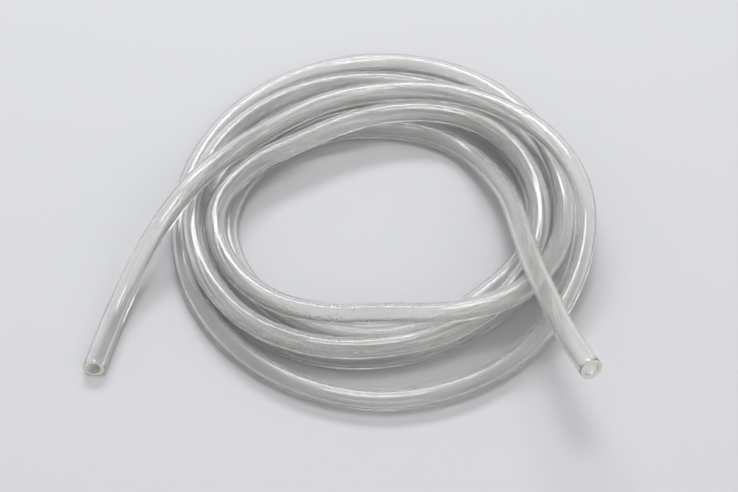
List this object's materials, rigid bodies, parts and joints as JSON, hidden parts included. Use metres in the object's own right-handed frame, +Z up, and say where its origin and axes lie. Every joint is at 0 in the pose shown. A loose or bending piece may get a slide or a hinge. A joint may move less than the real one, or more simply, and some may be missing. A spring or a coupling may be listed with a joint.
{
  "type": "silicone tubing coil",
  "caption": "Clear flexible silicone tube wound by hand into a loose flat coil, with both plain cut ends free to push over hose connectors.",
  "frame": {"origin": "on the table, at the middle of the box around the coil and its two free ends", "axes": "+Z up from the table, +X along the longest side of the box, towards the coil's right side, and +Y away from the side where both free ends come out"},
  "size_m": [0.1886, 0.177, 0.0471],
  "materials": {
    "silicone": "gloss"
  },
  "bodies": {
    "root": {"silicone_tube": "silicone"}
  },
  "joints": []
}
